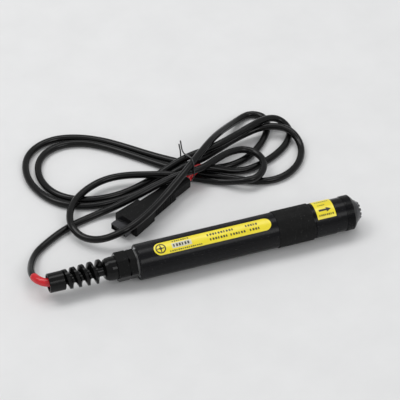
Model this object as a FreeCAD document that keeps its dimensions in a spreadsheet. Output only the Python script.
import FreeCAD, Part
import math
import os
import Sketcher

# A hand-held laser probe: a black tube with a screw-on front collar, a spiral cable gland at its
# rear, a long soft cable tied in loops, and the rectangular instrument plug at the cable's end.
#
# Frame: millimetres, +X along the tube towards the light aperture, +Z up. The origin is on the
# surface that the probe lies on, under the middle of the rigid probe. The probe's axis runs along
# X at the height of the grip sleeve's radius.

SIZES = {
    # the probe as a whole
    "rear_face": -50.8,
    "axis_height": 13.2,
    "play": 0.1,
    # barrel
    "barrel_radius": 12.7,
    "barrel_bore": 10.9,
    "barrel_length": 128.0,
    "sleeve_length": 26.6,
    "sleeve_radius": 13.2,
    "sleeve_bore": 12.73,
    # front head
    "head_radius": 12.5,
    "head_length": 24.6,
    "head_bore": 9.6,
    "head_neck": 12.1,
    "label_room": 16.6,
    "spigot_radius": 10.85,
    "spigot_length": 12.0,
    "nose_thread": 11.0,
    "nose_length": 4.0,
    # retaining collar, which screws on the head's nose
    "collar_radius": 12.6,
    "collar_thread": 11.1,
    "collar_length": 7.4,
    "collar_lip": 1.5,
    "collar_mouth": 9.6,
    "rib_pitch": 1.2,
    "rib_depth": 0.35,
    # aperture cap and window
    "cap_flange": 10.95,
    "cap_shoulder": 9.5,
    "cap_flange_depth": 1.7,
    "cap_tip": 6.4,
    "cap_length": 5.5,
    "cap_bore": 4.2,
    "window_seat": 7.0,
    "window_depth": 1.6,
    # gland, measured rearwards from the rear face
    "washer_depth": 1.5,
    "washer_radius": 9.3,
    "gland_thread": 7.9,
    "gland_bore": 3.5,
    "body_hex": 18.5,
    "body_depth": 5.2,
    "nut_hex": 19.0,
    "nut_depth": 8.3,
    "nut_thread": 8.0,
    "dome_radius": 8.3,
    "dome_length": 9.0,
    "core_radius": 3.7,
    "core_bore": 2.9,
    "spiral_pitch": 6.15,
    "spiral_start": 1.6,
    "spiral_length": 27.9,
    "ferrule_length": 11.4,
    "ferrule_radius": 6.9,
    "ferrule_mouth": 6.8,
    "ferrule_flare": 5.8,
    # labels: wrapped on the tube, the long one measured from the rear face
    "label_start": 11.4,
    "label_end": 97.0,
    "label_width": 9.5,
    "label_tilt": 19.5,
    "warning_start": 2.6,
    "warning_length": 13.8,
    "warning_width": 17.8,
    "warning_tilt": 2.0,
    # inner works
    "liner_radius": 10.8,
    "liner_bore": 10.5,
    "board_length": 84.0,
    "board_width": 18.0,
    "board_depth": 1.6,
    "module_radius": 6.0,
    "module_length": 28.5,
    "module_bore": 4.2,
    # cable
    "cable_radius": 2.6,
    "cover_bore": 2.65,
    "cover_radius": 3.1,
    "tie_radius": 0.5,
    # plug
    "plug_mid": 6.3,
    "plug_yaw": 29.0,
    "nose_width": 14.0,
    "nose_height": 5.2,
    "nose_reach": 8.2,
    "nose_wall": 0.5,
}

REAR = SIZES["rear_face"]
AXIS = SIZES["axis_height"]
FRONT_SHOULDER = REAR + SIZES["barrel_length"] + SIZES["head_length"]

# The plug's own frame: its front face's middle, at mid height, with x running rearwards.
PLUG_ORIGIN = FreeCAD.Vector(-43.55, 46.4, SIZES["plug_mid"])
PLUG_TURN = FreeCAD.Rotation(FreeCAD.Vector(0, 0, 1), SIZES["plug_yaw"])

# The cable's route, chosen by hand: it leaves the gland, climbs over the plug, makes three loops
# to the left and four to the right of the tie, and ends in the plug's rear face.
CABLE_ROUTE = [
    # out of the gland and down to the table
    (-106.8, 0, 13.2), (-112.3, 0, 13.2), (-117.3, 2.5, 13.2), (-120.8, 7.5, 12.8), (-121.8, 13.5, 11.4),
    (-120.8, 21, 8.8), (-118.3, 29, 6), (-114.8, 37, 3.8), (-109.3, 44.5, 2.7), (-100.8, 50.5, 2.7),
    (-90.3, 57, 2.7), (-77.8, 62.5, 2.7), (-64.3, 66, 2.7), (-53.8, 67.5, 3.8), (-44.8, 67, 6.4),
    # over the plug and round the small right loop
    (-34.8, 67.5, 9.2), (-23.8, 68.5, 12.2), (-11.8, 71, 14.4), (0.7, 73.5, 15.3), (12.7, 76, 15.4),
    (23.7, 76.5, 15), (35.7, 83, 14.3), (49.2, 90.5, 12), (61.2, 93, 9.7), (69.2, 87.5, 8.8),
    (71.7, 77, 8.6), (67.7, 67, 8.6), (60.2, 60.5, 8.8), (51.7, 60.5, 8.6), (44.2, 65.5, 5.6),
    # under the plug's red cover and round the small left loop
    (35.7, 71.5, 2.8), (27.7, 76, 2.8), (20.2, 80.5, 3.2), (13.2, 84, 4.2), (5.7, 84, 7.5),
    (-2.3, 86, 8.9), (-13.3, 89.5, 8.9), (-25.8, 93.5, 8.8), (-38.8, 95.5, 8.6), (-51.3, 93.5, 8.4),
    (-63.8, 87, 8.3), (-73.8, 78, 8.3), (-79.8, 66.5, 8.4), (-81.3, 55, 7.6), (-77.8, 45.5, 6),
    (-71.3, 38.5, 6.8), (-63.8, 33.5, 9.8), (-55.8, 31.5, 13.2), (-46.3, 32, 15.6),
    # over the plug's near edge and on top of the bundle
    (-35.3, 38, 15.8), (-23.3, 46.5, 15.8), (-11.3, 56, 16.4), (-0.8, 63.5, 18.8), (10.2, 72, 21),
    (22.7, 83.5, 21.5), (36.2, 97, 20), (46.7, 108.5, 15.6), (57.7, 120, 9.6), (68.7, 130, 4.4),
    # round the far right loop
    (76.7, 135.5, 2.7), (82.2, 136.5, 2.7), (87.2, 134.5, 2.7), (90.7, 130.5, 2.7), (91.7, 125, 2.7),
    (89.7, 117.5, 2.7), (84.7, 109.5, 2.7), (78.2, 101.5, 2.7), (69.7, 94, 2.7), (59.7, 88.5, 2.7),
    (49.2, 86, 2.7), (39.2, 86.5, 2.7), (30.2, 89.5, 2.8), (21.7, 94, 3.4),
    # round the outer left loop
    (13.7, 101, 4), (4.2, 110, 3), (-6.3, 120, 2.7), (-18.3, 132, 2.7), (-31.8, 144, 2.7),
    (-47.3, 153, 2.7), (-63.3, 157, 2.7), (-77.8, 154, 2.7), (-88.8, 145, 2.7), (-94.3, 132, 2.7),
    (-95.3, 117, 2.7), (-91.3, 102.5, 2.7), (-84.3, 90.5, 2.7), (-73.8, 82, 2.7), (-62.3, 77.5, 2.7),
    (-50.8, 76, 2.7), (-38.8, 76.5, 2.7), (-25.8, 78.8, 2.7), (-14.3, 83, 2.7), (-3.3, 87.8, 2.8),
    (5.7, 89.5, 5.1),
    # round the outer right loop
    (14.2, 89, 9.3), (23.2, 90.5, 9.9), (33.2, 95, 8), (46.2, 102.5, 6.6), (59.2, 109, 6), (71.2, 112.5, 6.4),
    (80.2, 113.5, 7.7), (89.2, 112, 8.7), (97.7, 108, 8.7), (103.2, 101, 8), (105.7, 92, 4.4),
    (103.2, 81.5, 2.7), (95.2, 70, 2.7), (83.7, 62.5, 2.7), (71.2, 60.5, 2.7), (59.2, 64, 2.7),
    (48.7, 70, 2.7), (38.7, 76.2, 2.7), (29.2, 81.8, 2.9), (20.7, 86.7, 3.8),
    # round the inner left loop
    (12, 93, 3.8), (2.2, 102, 2.8), (-8.8, 113.5, 2.7), (-20.3, 125.5, 2.7), (-32.3, 137, 2.7),
    (-44.8, 145.5, 2.7), (-59.3, 149, 2.7), (-72.8, 146, 2.7), (-82.3, 137, 2.7), (-86.8, 124, 2.7),
    (-86.3, 110.5, 2.7), (-81.3, 98, 2.7), (-71.8, 89, 2.7), (-60.8, 84, 2.7), (-49.3, 82, 2.7),
    (-37.3, 82.2, 2.7), (-25.8, 84.8, 2.7), (-15.3, 88.5, 2.7), (-5.3, 92.8, 3.2), (3.2, 94, 6.7),
    # round the middle right loop, high on the outer one
    (12.2, 95, 10.1), (22.7, 96, 12.5), (34.2, 96, 14.1), (47.7, 100, 14), (62.2, 106.5, 13.4),
    (75.7, 112, 13.7), (86.2, 116.5, 12.6), (93.7, 118.5, 10.4), (99.2, 117.5, 7.8),
    (102.7, 113.5, 5.2), (103.7, 108, 3), (101.2, 102.5, 2.7), (95.2, 94.5, 2.7), (86.7, 88, 2.7),
    (77.2, 83, 2.7), (66.7, 79, 2.7), (56.7, 77.5, 2.8), (47.2, 78.5, 4), (38.7, 80.3, 6.8),
    # into the plug
    (31.2, 82, 9.2), (25.2, 82.6, 10.6), (19.7, 81.5, 10.7), (15.2, 79.2, 8.9), (11.2, 76.8, 6.3),
]
COVERED_AT_GLAND = 4
COVERED_AT_PLUG = 4

# The tie round the bundle, seen along X: (y, z) corners from its upper end round to its lower end.
TIE_X = 16.2
TIE_ROUTE = [
    (105.0, 17.5), (101.2, 12.2), (101.9, 6.0), (102.1, 2.4), (100.2, 0.5), (81.1, 0.5),
    (79.2, 2.5), (75.6, 7.8), (72.6, 13.2), (73.0, 19.0), (74.6, 23.2), (78.0, 24.8),
    (83.0, 22.6), (97.2, 14.4), (101.5, 14.0), (105.5, 20.0),
]
TIE_LEAN = 1.3

doc = FreeCAD.newDocument("LaserProbe")
sheet = doc.addObject("Spreadsheet::Sheet", "sizes")
for row, (alias, number) in enumerate(SIZES.items(), start=1):
    sheet.set(f"A{row}", alias)
    sheet.set(f"B{row}", str(number))
    sheet.setAlias(f"B{row}", alias)
doc.recompute()

nodes = []


def number(words):
    """The value of a sum of sheet cells and plain numbers, such as 'head_length + 0.5'."""
    total = 0.0
    sign = 1
    for word in str(words).split():
        if word == "+":
            sign = 1
        elif word == "-":
            sign = -1
        else:
            total += sign * (SIZES[word] if word in SIZES else float(word))
    return total


def formula(words):
    """The same sum as an expression that reads the sheet."""
    return " ".join("sizes." + word if word in SIZES else word for word in str(words).split())


def bind(piece, **sizes):
    """Binds properties of a feature to sums of sheet cells."""
    for prop, words in sizes.items():
        setattr(piece, prop, number(words))
        piece.setExpression(prop, formula(words))


def keep(piece, label):
    """Names a finished sub-part and puts it on the list of what is written."""
    piece.Label = label
    nodes.append(piece)
    return piece


def sketch_in(body, plane, name, offset=0.0):
    """An empty sketch on one of the body's own planes, moved along its normal by the offset."""
    sketch = body.newObject("Sketcher::SketchObject", name)
    support = [item for item in body.Origin.OriginFeatures if item.Role == plane]
    sketch.AttachmentSupport = (support[0], [""])
    sketch.MapMode = "FlatFace"
    sketch.AttachmentOffset = FreeCAD.Placement(FreeCAD.Vector(0, 0, offset), FreeCAD.Rotation())
    return sketch


def pin_down(sketch, line, across, words):
    """Fixes one coordinate of a line's first point to the sheet."""
    size = number(words)
    kind, axis = ("DistanceX", -2) if across == "x" else ("DistanceY", -1)
    if abs(size) < 1e-9:
        sketch.addConstraint(Sketcher.Constraint("PointOnObject", line, 1, axis))
        return
    ends = (-1, 1, line, 1) if size > 0 else (line, 1, -1, 1)
    index = sketch.addConstraint(Sketcher.Constraint(kind, *ends, abs(size)))
    text = formula(words) if size > 0 else f"0 - ({formula(words)})"
    sketch.setExpression(f"Constraints[{index}]", text)


def outline(sketch, corners):
    """A closed polygon whose corners are pairs of sums of sheet cells."""
    points = [FreeCAD.Vector(number(a), number(b), 0) for a, b in corners]
    first = sketch.GeometryCount
    for start, end in zip(points, points[1:] + points[:1]):
        sketch.addGeometry(Part.LineSegment(start, end), False)
    count = len(points)
    for step in range(count):
        line, after = first + step, first + (step + 1) % count
        sketch.addConstraint(Sketcher.Constraint("Coincident", line, 2, after, 1))
    for step, (a, b) in enumerate(corners):
        pin_down(sketch, first + step, "x", a)
        pin_down(sketch, first + step, "y", b)


def revolve(body, kind, name, corners):
    """Turns a closed outline of (x, radius) corners about the body's X axis."""
    sketch = sketch_in(body, "XZ_Plane", name + "_outline")
    outline(sketch, corners)
    feature = body.newObject("PartDesign::" + kind, name)
    feature.Profile = sketch
    feature.ReferenceAxis = (sketch, ["H_Axis"])
    feature.Angle = 360
    return feature


def rod_turn():
    """The turn that lays a Z axis along X."""
    return FreeCAD.Rotation(FreeCAD.Vector(0, 0, 1), FreeCAD.Vector(1, 0, 0))


def on_axis(x, rearwards=False):
    """A placement on the probe's axis, looking forwards or rearwards."""
    turn = FreeCAD.Rotation(FreeCAD.Vector(0, 0, 1), 180 if rearwards else 0)
    return FreeCAD.Placement(FreeCAD.Vector(x, 0, AXIS), turn)


def turned(label, placement, corners):
    """A turned piece in a body of its own."""
    body = doc.addObject("PartDesign::Body", label)
    revolve(body, "Revolution", label + "_turning", corners)
    body.Placement = placement
    return keep(body, label)


def ring(x, length, inner, outer):
    """The corners of a plain ring's section."""
    return [(x, inner), (f"{x} + {length}", inner), (f"{x} + {length}", outer), (x, outer)]


def rod(x, y, z, length, radius, direction=FreeCAD.Vector(1, 0, 0)):
    """A plain cylinder that starts at a point and runs along a direction."""
    piece = doc.addObject("Part::Cylinder", "rod")
    bind(piece, Radius=radius, Height=length)
    turn = FreeCAD.Rotation(FreeCAD.Vector(0, 0, 1), direction)
    piece.Placement = FreeCAD.Placement(FreeCAD.Vector(x, y, z), turn)
    return piece


def block(x, y, z, length, width, height):
    """A box whose bottom face is centred across on y and starts at x."""
    piece = doc.addObject("Part::Box", "block")
    bind(piece, Length=length, Width=width, Height=height)
    piece.Placement.Base = FreeCAD.Vector(x, y - number(width) / 2, z)
    return piece


def round_seal(label, x, ring_radius, cord_radius):
    """An O-ring on the probe's axis."""
    seal = doc.addObject("Part::Torus", label)
    bind(seal, Radius1=ring_radius, Radius2=cord_radius)
    seal.Placement = FreeCAD.Placement(FreeCAD.Vector(x, 0, AXIS), rod_turn())
    return keep(seal, label)


def group(kind, pieces):
    """A boolean or a compound of several objects."""
    piece = doc.addObject("Part::" + kind, kind.lower())
    if kind == "Compound":
        piece.Links = pieces
    else:
        piece.Shapes = pieces
    return piece


def cut(base, tool):
    """One object less another."""
    piece = doc.addObject("Part::Cut", "cut")
    piece.Base = base
    piece.Tool = tool
    return piece


def shaped(label, shape):
    """A sub-part whose shape is made directly."""
    piece = doc.addObject("Part::Feature", label)
    piece.Shape = shape
    return keep(piece, label)


# ---------------------------------------------------------------- paths of wires and cable

def path_edges(points):
    """Straight runs joined by tangent arcs, as large as 0.45 of the shorter run allows."""
    corners = [FreeCAD.Vector(*point) for point in points]
    edges = []
    radii = []
    start = corners[0]
    for before, corner, after in zip(corners, corners[1:], corners[2:]):
        back = before - corner
        ahead = after - corner
        reach = 0.45 * min(back.Length, ahead.Length)
        back.normalize()
        ahead.normalize()
        half_turn = (math.pi - back.getAngle(ahead)) / 2
        radius = reach / math.tan(half_turn)
        middle = back + ahead
        middle.normalize()
        crown = corner + middle * (radius / math.cos(half_turn) - radius)
        arc = Part.Arc(corner + back * reach, crown, corner + ahead * reach)
        edges.append(Part.LineSegment(start, corner + back * reach).toShape())
        edges.append(arc.toShape())
        radii.append(radius)
        start = corner + ahead * reach
    edges.append(Part.LineSegment(start, corners[-1]).toShape())
    return edges, radii


def tube_along(edges, radius):
    """A solid of round section along connected edges."""
    path = Part.Wire(edges)
    start = edges[0].Vertexes[0].Point
    direction = edges[0].Vertexes[1].Point - start
    section = Part.Wire(Part.makeCircle(radius, start, direction))
    return path.makePipeShell([section], True, False)


def wire_run(points, radius):
    """A thin wire through a few points."""
    return tube_along(path_edges(points)[0], radius)


# ---------------------------------------------------------------- barrel, sleeve and head

def make_barrel():
    turned("barrel_tube", on_axis(REAR), [
        ("0", "barrel_bore"), ("barrel_length", "barrel_bore"),
        ("barrel_length", "barrel_radius - 0.3"), ("barrel_length - 0.3", "barrel_radius"),
        ("0.5", "barrel_radius"), ("0", "barrel_radius - 0.5")])
    turned("end_plug", on_axis(REAR + 0.4), ring("0", "10", "gland_thread + 0.05", "barrel_bore - 0.05"))
    turned("grip_sleeve", on_axis(REAR), [
        ("barrel_length - sleeve_length", "sleeve_bore"), ("barrel_length - 0.2", "sleeve_bore"),
        ("barrel_length - 0.2", "sleeve_radius - 0.3"), ("barrel_length - 0.5", "sleeve_radius"),
        ("barrel_length - sleeve_length + 0.3", "sleeve_radius"),
        ("barrel_length - sleeve_length", "sleeve_radius - 0.3")])


def make_head():
    turned("front_head", on_axis(REAR + SIZES["barrel_length"] - SIZES["spigot_length"]), [
        ("0", "head_bore"), ("spigot_length + head_length + nose_length", "head_bore"),
        ("spigot_length + head_length + nose_length", "nose_thread - 0.3"),
        ("spigot_length + head_length + nose_length - 0.3", "nose_thread"),
        ("spigot_length + head_length", "nose_thread"),
        ("spigot_length + head_length", "head_neck"),
        ("spigot_length + label_room + 0.4", "head_neck"),
        ("spigot_length + label_room", "head_radius"),
        ("spigot_length + 1.2", "head_radius"), ("spigot_length + 1.2", "head_radius - 0.5"),
        ("spigot_length + 0.1", "head_radius - 0.5"), ("spigot_length + 0.1", "spigot_radius"),
        ("6.2", "spigot_radius"), ("6.2", "spigot_radius - 0.9"),
        ("4.6", "spigot_radius - 0.9"), ("4.6", "spigot_radius"),
        ("0.4", "spigot_radius"), ("0", "spigot_radius - 0.4")])
    groove_middle = REAR + SIZES["barrel_length"] - SIZES["spigot_length"] + 5.4
    round_seal("head_seal", groove_middle, "spigot_radius - 0.4", "0.42")


def make_collar():
    """The collar: rings of fine ribs at its rear, a plain band, a chamfer and an inner lip."""
    rib_count = 4
    corners = [("0", "collar_thread"), ("collar_length - collar_lip", "collar_thread"),
               ("collar_length - collar_lip", "collar_mouth"), ("collar_length", "collar_mouth"),
               ("collar_length", "collar_radius - 1.9"), ("collar_length - 1.9", "collar_radius")]
    for rib in reversed(range(rib_count)):
        place = SIZES["rib_pitch"] * rib + 0.4
        corners += [(f"{place + 0.9}", "collar_radius"), (f"{place + 0.6}", "collar_radius - rib_depth"),
                    (f"{place + 0.3}", "collar_radius - rib_depth"), (f"{place}", "collar_radius")]
    corners.append(("0", "collar_radius"))
    turned("retaining_collar", on_axis(FRONT_SHOULDER + 0.1), corners)


def make_aperture():
    """The cap under the collar's lip: a flange, a tapered nose and a rim cut into teeth."""
    flange_at = FRONT_SHOULDER + SIZES["nose_length"] + 0.2
    body = doc.addObject("PartDesign::Body", "aperture_cap")
    revolve(body, "Revolution", "cap_turning", [
        ("0", "window_seat"), ("window_depth", "window_seat"), ("window_depth", "cap_bore"),
        ("cap_flange_depth + cap_length - 1.2", "cap_bore"),
        ("cap_flange_depth + cap_length", "cap_tip - 1"),
        ("cap_flange_depth + cap_length + 1", "cap_tip - 1"),
        ("cap_flange_depth + cap_length + 1", "cap_tip - 0.3"),
        ("cap_flange_depth + cap_length", "cap_tip"),
        ("cap_flange_depth + cap_length - 0.9", "cap_tip + 1.2"),
        ("cap_flange_depth + 2.6", "cap_shoulder - 0.5"),
        ("cap_flange_depth + 1.7", "cap_shoulder"), ("cap_flange_depth", "cap_shoulder"),
        ("cap_flange_depth", "cap_flange"), ("0", "cap_flange")])
    teeth = 12
    gap = sketch_in(body, "XZ_Plane", "tooth_gap")
    top = "cap_flange_depth + cap_length"
    outline(gap, [(f"{top} + 0.2", "cap_tip - 1.5"), (f"{top} + 1.5", "cap_tip - 1.5"),
                  (f"{top} + 1.5", "cap_tip + 0.5"), (f"{top} + 0.2", "cap_tip + 0.5")])
    slot = body.newObject("PartDesign::Pocket", "tooth_slot")
    slot.Profile = gap
    slot.Midplane = True
    slot.Length = 1.4
    doc.recompute()
    pattern = body.newObject("PartDesign::PolarPattern", "teeth")
    pattern.Originals = [slot]
    pattern.Axis = (gap, ["H_Axis"])
    pattern.Angle = 360
    pattern.Occurrences = teeth
    body.Tip = pattern
    body.Placement = on_axis(flange_at)
    keep(body, "aperture_cap")
    window_at = flange_at + 0.55
    keep(rod(window_at, 0, AXIS, "1.0", "window_seat - 0.1"), "window")
    round_seal("window_seal", flange_at + 0.28, "window_seat - 1.1", "0.26")


# ---------------------------------------------------------------- laser module and electronics

def make_module():
    """The brass module in its insulating bush: diode, lens, the lens's cell and its spring."""
    start = FRONT_SHOULDER - 26.0
    turned("module_bush", on_axis(start + 2), ring("0", "24", "module_radius + 0.02", "head_bore - 0.02"))
    turned("laser_module", on_axis(start), [
        ("0", "3.0"), ("4", "3.0"), ("4", "module_bore"), ("module_length", "module_bore"),
        ("module_length", "module_radius"), ("0", "module_radius")])
    can = rod(start + 1.0, 0, AXIS, "1.2", "2.8")
    lid = rod(start + 2.2, 0, AXIS, "3.0", "2.0")
    keep(group("MultiFuse", [can, lid]), "laser_diode")
    cell_at = start + SIZES["module_length"] - 6
    turned("lens_cell", on_axis(cell_at), [
        ("0", "2.6"), ("1.5", "2.6"), ("1.5", "3.3"), ("5", "3.3"),
        ("5", "module_bore - 0.03"), ("0", "module_bore - 0.03")])
    keep(rod(cell_at + 1.6, 0, AXIS, "2.2", "3.25"), "collimating_lens")
    turns, thickness = 5, 0.3
    length = cell_at - (start + 4) - 1.0
    coil = Part.makeHelix(length / turns, length, number("module_bore") - 0.6)
    section = Part.Wire(Part.makeCircle(
        thickness, FreeCAD.Vector(number("module_bore") - 0.6, 0, 0), FreeCAD.Vector(0, 1, 0)))
    spring = shaped("lens_spring", Part.Wire(coil).makePipeShell([section], True, True))
    spring.Placement = FreeCAD.Placement(FreeCAD.Vector(start + 4.5, 0, AXIS), rod_turn())


def make_board():
    """The driver board on its bracket in the insulating liner, and what is soldered to it."""
    turned("liner_tube", on_axis(REAR + 12), ring("0", "100", "liner_bore", "liner_radius"))
    board_at = REAR + 20
    under = AXIS - 4.5
    top = under + SIZES["board_depth"]
    upwards = FreeCAD.Vector(0, 0, 1)
    screw_at = board_at + 3.5
    holes = [rod(screw_at, side, under - 1, "4", "1.1", upwards) for side in (-6, 6)]
    board = block(board_at, 0, under, "board_length", "board_width", "board_depth")
    keep(cut(board, group("Compound", holes)), "driver_board")
    foot = block(REAR + 10.5, 0, under - 1.6, "16", "16", "1.5")
    wall = block(REAR + 10.5, 0, under - 1.6, "1.5", "16", "5")
    bracket = group("MultiFuse", [foot, wall])
    taps = [rod(screw_at, side, under - 2, "4", "0.9", upwards) for side in (-6, 6)]
    keep(cut(bracket, group("Compound", taps)), "board_bracket")
    screws = []
    for side in (-6, 6):
        shank = rod(screw_at, side, under - 1.5, "3.3", "0.85", upwards)
        head = rod(screw_at, side, top + 0.05, "1.4", "1.9", upwards)
        screws.append(group("MultiFuse", [shank, head]))
    keep(group("Compound", screws), "board_screws")
    keep(block(board_at + 8, 0, top, "6", "8", "5.5"), "cable_header")
    keep(rod(board_at + 18, -3.6, top + 3.25, "12", "3.2"), "storage_capacitor")
    keep(rod(board_at + 36, 3, top, "4.5", "4.4", upwards), "power_inductor")
    keep(block(board_at + 18, 5, top, "10", "4.5", "4.2"), "power_regulator")
    keep(block(board_at + 46, -3.5, top + 0.1, "9.5", "6.5", "3.2"), "pulse_chip")
    pot = block(board_at + 60, 3.5, top, "6.5", "6.5", "3.6")
    wheel = rod(board_at + 63.25, 3.5, top + 3.6, "0.8", "1.6", upwards)
    keep(group("MultiFuse", [pot, wheel]), "power_trimmer")
    chips = [block(board_at + 48 + 4 * step, 6.2, top, "2.0", "1.25", "0.6") for step in range(3)]
    chips += [block(board_at + 70 + 3 * step, -4, top, "1.6", "0.8", "0.6") for step in range(4)]
    keep(group("Compound", chips), "chip_parts")
    supply = [wire_run([(REAR + 2.5, side, AXIS), (REAR + 8, side, AXIS),
                        (REAR + 15, side * 1.6, AXIS - 0.5), (REAR + 22, side * 1.6, AXIS),
                        (board_at + 7.9, side * 1.6, AXIS - 0.5)], 0.6)
              for side in (-1.0, 1.0)]
    shaped("supply_wires", Part.makeCompound(supply))
    module_at = FRONT_SHOULDER - 26.0
    diode = [wire_run([(board_at + 78, side * 3, top + 0.6), (board_at + 82, side * 3, top + 1.4),
                       (board_at + 88, side * 1.5, AXIS - 1), (module_at - 5, side, AXIS),
                       (module_at + 0.9, side, AXIS)], 0.5) for side in (-1.0, 1.0)]
    shaped("diode_wires", Part.makeCompound(diode))


# ---------------------------------------------------------------- labels

def label_patch(label, shape, radius, tilt):
    """A thin curved label: the part of a shell that lies under a flat shape, tilted about the axis."""
    thickness = 0.14
    gap = 0.02
    length = number("barrel_length") + number("head_length")
    shell = cut(rod(REAR, 0, 0, f"{length}", f"{radius + gap + thickness}"),
                rod(REAR - 1, 0, 0, f"{length + 2}", f"{radius + gap}"))
    common = group("MultiCommon", [shell, shape])
    turn = FreeCAD.Rotation(FreeCAD.Vector(1, 0, 0), tilt)
    common.Placement = FreeCAD.Placement(FreeCAD.Vector(0, 0, AXIS), turn)
    return keep(common, label)


def make_labels():
    """The long round-ended label on the barrel and the square-cornered one on the head."""
    tall = "20"
    half = SIZES["label_width"] / 2
    start, end = REAR + SIZES["label_start"], REAR + SIZES["label_end"]
    middle = block(start + half, 0, 0, f"{end - start - 2 * half}", "label_width", tall)
    ends = [rod(x, 0, 0, tall, f"{half}", FreeCAD.Vector(0, 0, 1)) for x in (start + half, end - half)]
    plate = group("MultiFuse", [middle] + ends)
    label_patch("main_label", plate, SIZES["barrel_radius"], SIZES["label_tilt"])
    warning_at = REAR + SIZES["barrel_length"] + SIZES["warning_start"]
    patch = block(warning_at, 0, 0, "warning_length", "warning_width", tall)
    label_patch("aperture_label", patch, SIZES["head_radius"], SIZES["warning_tilt"])


# ---------------------------------------------------------------- gland

def hex_sides(body, name, across, depth, offset):
    """Mills a round body down to a hexagon over a depth, from an offset along X."""
    sketch = sketch_in(body, "YZ_Plane", name + "_sketch", offset)
    corner_radius = across / math.sqrt(3)
    corners = []
    for step in range(6):
        angle = math.radians(60 * step)
        corners.append(FreeCAD.Vector(corner_radius * math.cos(angle), corner_radius * math.sin(angle), 0))
    for start, end in zip(corners, corners[1:] + corners[:1]):
        sketch.addGeometry(Part.LineSegment(start, end), False)
    for side in range(6):
        sketch.addConstraint(Sketcher.Constraint("Coincident", side, 2, (side + 1) % 6, 1))
    outer = Part.Circle(FreeCAD.Vector(0, 0, 0), FreeCAD.Vector(0, 0, 1), across)
    sketch.addGeometry(outer, False)
    pocket = body.newObject("PartDesign::Pocket", name)
    pocket.Profile = sketch
    pocket.Length = depth
    pocket.Reversed = True
    doc.recompute()
    return pocket


def make_gland():
    """Washer, threaded body, seal and claw, all on the axis and measured rearwards."""
    rearwards = on_axis(REAR, rearwards=True)
    washer = ring("0.02", "washer_depth - 0.04", "gland_thread + 0.1", "washer_radius")
    turned("gland_washer", rearwards, washer)
    body = doc.addObject("PartDesign::Body", "gland_body")
    flats = SIZES["body_hex"] / math.sqrt(3) - 0.35
    thread_in = 9.5
    revolve(body, "Revolution", "gland_turning", [
        ("0", "gland_bore"), (f"{thread_in} + washer_depth + body_depth - 1", "gland_bore"),
        (f"{thread_in} + washer_depth + body_depth", "5.9"),
        (f"{thread_in} + washer_depth + body_depth + 6.5", "5.9"),
        (f"{thread_in} + washer_depth + body_depth + 6.5", "gland_thread"),
        (f"{thread_in} + washer_depth + body_depth", "gland_thread"),
        (f"{thread_in} + washer_depth + body_depth", f"{flats - 0.7}"),
        (f"{thread_in} + washer_depth + body_depth - 0.6", f"{flats}"),
        (f"{thread_in} + washer_depth", f"{flats}"), (f"{thread_in} + washer_depth", "gland_thread"),
        ("0", "gland_thread")])
    hex_sides(body, "gland_hex", SIZES["body_hex"], SIZES["body_depth"],
              thread_in + SIZES["washer_depth"])
    body.Placement = on_axis(REAR + thread_in, rearwards=True)
    keep(body, "gland_body")
    turned("gland_seal", rearwards, ring("washer_depth + body_depth + 0.4", "4.2", "core_bore", "5.4"))
    turned("gland_claw", rearwards, [
        ("washer_depth + body_depth + 4.9", "core_bore"), ("washer_depth + body_depth + 9.5", "core_bore"),
        ("washer_depth + body_depth + 9.5", "5.0"), ("washer_depth + body_depth + 7.8", "6.9"),
        ("washer_depth + body_depth + 6.8", "6.9"), ("washer_depth + body_depth + 6.8", "5.8"),
        ("washer_depth + body_depth + 4.9", "5.8")])


def make_dome_nut():
    """The nut with its spiral bend guard: hexagon, dome, a ridge wound on a thin core, and a ferrule."""
    nut_at = SIZES["washer_depth"] + SIZES["body_depth"] + 0.2
    body = doc.addObject("PartDesign::Body", "dome_nut")
    flats = SIZES["nut_hex"] / math.sqrt(3) - 0.35
    hexed = "nut_depth"
    dome = f"{hexed} + dome_length"
    spiral = f"{dome} + spiral_length"
    whole = f"{spiral} + ferrule_length"
    revolve(body, "Revolution", "nut_turning", [
        ("0", "nut_thread"), ("nut_depth", "nut_thread"), ("nut_depth + 4", "5.2"),
        ("nut_depth + 4", "core_bore"), (f"{spiral} + 2", "core_bore"), (whole, "ferrule_flare"),
        (whole, "ferrule_mouth - 0.4"), (f"{whole} - 0.5", "ferrule_mouth"),
        (f"{spiral} + 0.6", "ferrule_radius"), (spiral, "ferrule_radius - 0.6"), (spiral, "core_radius"),
        (dome, "core_radius"), (dome, "5.6"), (f"{dome} - 1.2", "7.1"), (f"{dome} - 3", "8.0"),
        (f"{dome} - 5.5", "dome_radius"), (hexed, "dome_radius"), (hexed, f"{flats - 0.8}"),
        ("nut_depth - 0.7", f"{flats}"), ("0.6", f"{flats}"), ("0", f"{flats - 0.6}")])
    hex_sides(body, "nut_hexagon", SIZES["nut_hex"], SIZES["nut_depth"], 0)
    doc.recompute()
    tooth = sketch_in(body, "XZ_Plane", "ridge_section")
    root = "core_radius - 0.4"
    foot = f"{dome} + spiral_start"
    outline(tooth, [(f"{foot} - 2.6", root), (f"{foot} + 2.6", root), (f"{foot} + 0.5", "8.9"),
                    (f"{foot} - 0.5", "8.9")])
    ridge = body.newObject("PartDesign::AdditiveHelix", "ridge")
    ridge.Profile = tooth
    ridge.ReferenceAxis = (tooth, ["H_Axis"])
    ridge.Mode = "pitch-height-angle"
    bind(ridge, Pitch="spiral_pitch", Height="spiral_length - spiral_start - 0.6")
    doc.recompute()
    revolve(body, "Groove", "ridge_trim", [
        (f"{dome} - 0.01", "8.5"), (f"{spiral} + 3.2", "6.9"), (f"{spiral} + 3.2", "12"),
        (f"{dome} - 0.01", "12")])
    body.Placement = on_axis(REAR - nut_at, rearwards=True)
    keep(body, "dome_nut")


# ---------------------------------------------------------------- cable, covers and tie

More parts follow.
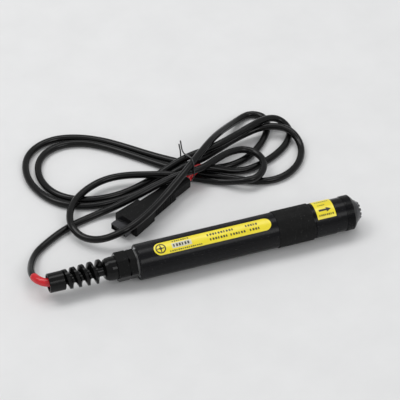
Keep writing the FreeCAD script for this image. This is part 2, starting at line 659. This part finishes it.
def make_cable():
    """The cable's free length, its red covers at both ends and the tie round the bundle."""
    edges, radii = path_edges(CABLE_ROUTE)
    length = sum(edge.Length for edge in edges)
    radius = SIZES["cable_radius"]
    tube = tube_along(edges, radius)
    print("cable length", round(length, 1), "mm; volume against section times length",
          round(tube.Volume / (math.pi * radius * radius * length), 4))
    print("cable bend radii", [round(bend, 1) for bend in radii])
    shaped("supply_cable", tube)
    covers = {"red_cover_rear": edges[:2 * COVERED_AT_GLAND], "red_cover_plug": edges[-2 * COVERED_AT_PLUG:]}
    covers["red_cover_rear"][0] = Part.LineSegment(
        FreeCAD.Vector(CABLE_ROUTE[0][0] - 0.5, 0, AXIS), edges[0].Vertexes[1].Point).toShape()
    for label, stretch in covers.items():
        skin = tube_along(stretch, SIZES["cover_radius"])
        shaped(label, skin.cut(tube_along(stretch, SIZES["cover_bore"])))
    gland_end = FreeCAD.Vector(*CABLE_ROUTE[0])
    inside = REAR + 2.4 - gland_end.x
    keep(rod(gland_end.x, 0, AXIS, f"{inside}", "cable_radius"), "cable_in_gland")
    count = len(TIE_ROUTE) - 1
    tie = [(TIE_X + TIE_LEAN * (step / count - 0.5), y, z) for step, (y, z) in enumerate(TIE_ROUTE)]
    shaped("bundle_tie", wire_run(tie, SIZES["tie_radius"]))


# ---------------------------------------------------------------- plug

def on_plug(along, across=0.0, up=0.0, turn=FreeCAD.Rotation()):
    """A placement in the plug's own frame."""
    base = PLUG_ORIGIN + PLUG_TURN.multVec(FreeCAD.Vector(along, across, up))
    return FreeCAD.Placement(base, PLUG_TURN.multiply(turn))


def in_plug(piece):
    """Moves a piece that was placed about the plug's own origin to where the plug lies."""
    local = piece.Placement
    piece.Placement = FreeCAD.Placement(PLUG_ORIGIN, PLUG_TURN).multiply(local)
    return piece


# The shell's three steps: start, end, half width at each, height above mid plane, corner chamfer.
PLUG_STEPS = [
    (0.0, 20.0, 10.5, 8.75, 6.3, 1.5),
    (20.0, 46.0, 7.5, 5.75, 5.2, 1.5),
    (46.0, 62.65, 4.9, 4.5, 4.5, 1.2),
]
RIB_COUNT = 11


def plug_half(label, turn):
    """Half of the plug's shell: three tapered steps, ribs on the middle one, hollow inside."""
    body = doc.addObject("PartDesign::Body", label)
    for index, (start, end, front, rear, height, chamfer) in enumerate(PLUG_STEPS):
        sections = []
        for place, half in ((start, front), (end, rear)):
            sketch = sketch_in(body, "YZ_Plane", f"{label}_{index}_{int(place)}", place)
            outline(sketch, [(f"- {half}", "0"), (f"{half}", "0"), (f"{half}", f"{height - chamfer}"),
                             (f"{half - chamfer}", f"{height}"), (f"- {half - chamfer}", f"{height}"),
                             (f"- {half}", f"{height - chamfer}")])
            sections.append(sketch)
        loft = body.newObject("PartDesign::AdditiveLoft", f"{label}_step_{index}")
        loft.Profile = sections[0]
        loft.Sections = sections[1:]
        loft.Ruled = True
        doc.recompute()
    start, end, front, rear = PLUG_STEPS[1][:4]
    ribs = sketch_in(body, "XY_Plane", label + "_ribs")
    for step in range(RIB_COUNT):
        place = start + 3.0 + 2.0 * step
        half = front + (rear - front) * (place - start) / (end - start)
        for side in (-1, 1):
            edge = side * (half - 0.5)
            beyond = side * (half + 0.6)
            outline(ribs, [(f"{place}", f"{edge}"), (f"{place + 0.9}", f"{edge}"),
                           (f"{place + 0.9}", f"{beyond}"), (f"{place}", f"{beyond}")])
    grooves = body.newObject("PartDesign::Pocket", label + "_grooves")
    grooves.Profile = ribs
    grooves.Length = 3.4
    grooves.Reversed = True
    doc.recompute()
    hollow = sketch_in(body, "XY_Plane", label + "_hollow")
    outline(hollow, [("0", "- 7.05"), ("9", "- 7.05"), ("9", "- 5.2"), ("40", "- 3.9"),
                     ("40", "- 2.75"), ("62.65", "- 2.75"), ("62.65", "2.75"), ("40", "2.75"),
                     ("40", "3.9"), ("9", "5.2"), ("9", "7.05"), ("0", "7.05")])
    room = body.newObject("PartDesign::Pocket", label + "_room")
    room.Profile = hollow
    room.Length = 2.75
    room.Reversed = True
    doc.recompute()
    body.Placement = on_plug(0, turn=turn)
    return keep(body, label)


def make_plug():
    """The shell's halves, the metal nose with its insulator and contacts, the clamp and screws."""
    flip = FreeCAD.Rotation(FreeCAD.Vector(1, 0, 0), 180)
    plug_half("plug_shell_upper", FreeCAD.Rotation())
    plug_half("plug_shell_lower", flip)
    reach, wall = SIZES["nose_reach"], SIZES["nose_wall"]
    wide, tall = SIZES["nose_width"], SIZES["nose_height"]
    outer = block(-reach, 0, -tall / 2, f"{reach + 8}", "nose_width", "nose_height")
    inner = block(-reach - 1, 0, -tall / 2 + wall, f"{reach + 10}",
                  "nose_width - nose_wall - nose_wall", "nose_height - nose_wall - nose_wall")
    keep(in_plug(cut(outer, inner)), "plug_nose")
    insert = block(-reach + 1.5, 0, -tall / 2 + wall + 0.02, f"{reach + 5}", f"{wide - 2 * wall - 0.04}",
                   f"{tall - 2 * wall - 0.04}")
    pins = [(-4.5 + 3.0 * step, 0.0) for step in range(4)]
    bores = [rod(-reach, y, z, "20", "0.6") for y, z in pins]
    keep(in_plug(cut(insert, group("Compound", bores))), "plug_insert")
    contacts = [rod(-reach + 2.4, y, z, f"{reach + 7.5}", "0.5") for y, z in pins]
    keep(in_plug(group("Compound", contacts)), "plug_contacts")
    clamp = block(40.6, 0, -2.7, "4", "5.4", "5.4")
    keep(in_plug(cut(clamp, rod(39, 0, 0, "8", "cable_radius - 0.02"))), "plug_clamp")
    keep(in_plug(rod(36.0, 0, 0, f"{PLUG_STEPS[2][1] - 36.0}", "cable_radius - 0.04")), "cable_in_plug")
    cores = [wire_run([(14.8, 3 * side, 0), (20, 3 * side, 0.2), (28, 1.4 * side, 0),
                       (35.9, side, 0)], 0.55) for side in (-0.5, 0.5)]
    shaped("plug_cores", Part.makeCompound(cores)).Placement = on_plug(0)


def check_document():
    """Stops the build when any object failed or any sub-part is not a valid solid."""
    doc.recompute()
    for item in doc.Objects:
        if "Invalid" in item.State or "Error" in item.State:
            raise RuntimeError(f"{item.Label} failed: {item.State}")
    for piece in nodes:
        shape = piece.Shape
        if shape.isNull() or not shape.isValid() or not shape.Solids or shape.Volume <= 0:
            raise RuntimeError(f"{piece.Label} has no valid solid")


make_barrel()
make_head()
make_collar()
make_aperture()
make_module()
make_board()
make_labels()
make_gland()
make_dome_nut()
make_cable()
make_plug()
check_document()

os.makedirs("parts", exist_ok=True)
for piece in nodes:
    piece.Shape.exportStep(f"parts/{piece.Label}.step")
print(len(nodes), "sub-parts written")
